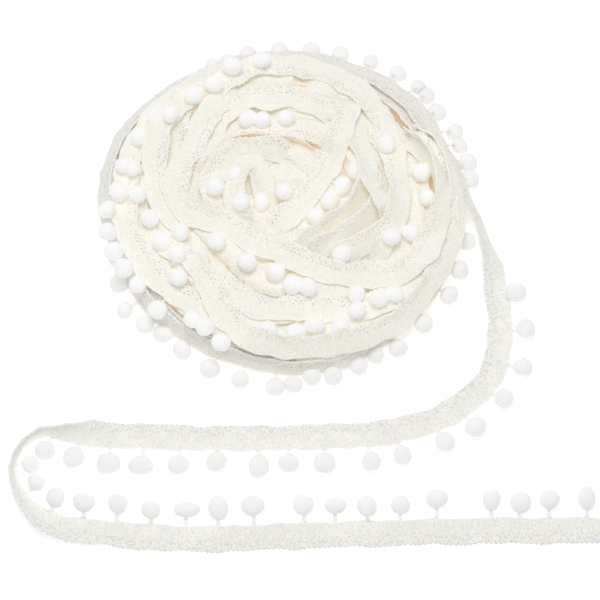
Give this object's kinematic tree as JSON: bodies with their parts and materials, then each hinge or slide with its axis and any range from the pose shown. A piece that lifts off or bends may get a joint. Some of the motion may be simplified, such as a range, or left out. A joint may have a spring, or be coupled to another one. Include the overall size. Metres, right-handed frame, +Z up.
{
  "type": "pompom fringe trim",
  "caption": "Length of woven tape with small pompoms tied along one edge, wound in a loose flat coil with its outer end lying free in a hairpin bend.",
  "frame": {"origin": "under the middle of the whole trim's box, on the surface that it rests on", "axes": "+X along the free end's two straight runs, towards the cut end; +Y from those runs towards the wound coil; +Z up"},
  "size_m": [0.289, 0.268, 0.031],
  "materials": {
    "woven_tape": "matt cream woven tape with an open ladder edge",
    "pompom_pile": "matt white cut yarn pile"
  },
  "bodies": {
    "root": {"wound_coil": "woven_tape", "loose_tape": "woven_tape", "pompom_01": "pompom_pile", "pompom_02": "pompom_pile", "pompom_03": "pompom_pile", "pompom_04": "pompom_pile", "pompom_05": "pompom_pile", "pompom_06": "pompom_pile", "pompom_07": "pompom_pile", "pompom_08": "pompom_pile", "pompom_09": "pompom_pile", "pompom_10": "pompom_pile", "pompom_11": "pompom_pile", "pompom_12": "pompom_pile", "pompom_13": "pompom_pile", "pompom_14": "pompom_pile", "pompom_15": "pompom_pile", "pompom_16": "pompom_pile", "pompom_17": "pompom_pile", "pompom_18": "pompom_pile", "pompom_19": "pompom_pile", "pompom_20": "pompom_pile", "pompom_21": "pompom_pile", "pompom_22": "pompom_pile", "pompom_23": "pompom_pile", "pompom_24": "pompom_pile", "pompom_25": "pompom_pile", "pompom_26": "pompom_pile", "pompom_27": "pompom_pile", "pompom_28": "pompom_pile", "pompom_29": "pompom_pile", "pompom_30": "pompom_pile", "pompom_31": "pompom_pile", "pompom_32": "pompom_pile", "pompom_33": "pompom_pile", "pompom_34": "pompom_pile", "pompom_35": "pompom_pile"}
  },
  "joints": []
}
